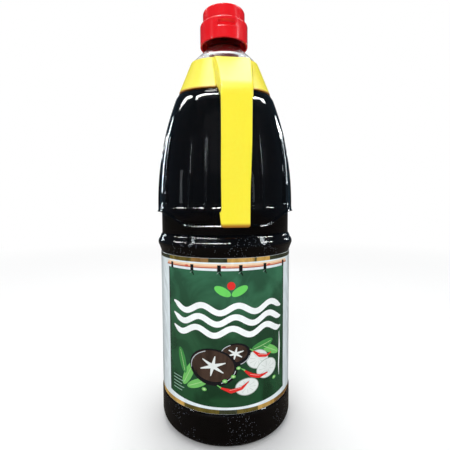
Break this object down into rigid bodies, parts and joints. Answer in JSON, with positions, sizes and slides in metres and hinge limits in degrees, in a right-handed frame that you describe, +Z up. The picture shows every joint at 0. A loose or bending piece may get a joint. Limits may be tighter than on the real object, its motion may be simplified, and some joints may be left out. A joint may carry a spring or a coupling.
{
  "type": "udon sauce bottle",
  "caption": "Tall clear plastic bottle of dark udon sauce with a red flip-top cap, a yellow collar with a hanging strap handle and a green printed wrap label.",
  "frame": {"origin": "centre of the ring the bottle stands on", "axes": "+Z up through the cap; the strap of the handle hangs on the -Y side, the front; +X to the right seen from the front"},
  "size_m": [0.1039, 0.1095, 0.3103],
  "materials": {
    "clear_bottle": "clear blown plastic, glossy",
    "sauce": "near-black brown liquid",
    "red_cap": "glossy moulded",
    "yellow_handle": "semi-gloss soft moulded",
    "printed_label": "glossy printed film"
  },
  "bodies": {
    "root": {"bottle": "clear_bottle", "sauce": "sauce", "cap": "red_cap", "handle": "yellow_handle", "label": "printed_label"}
  },
  "joints": []
}
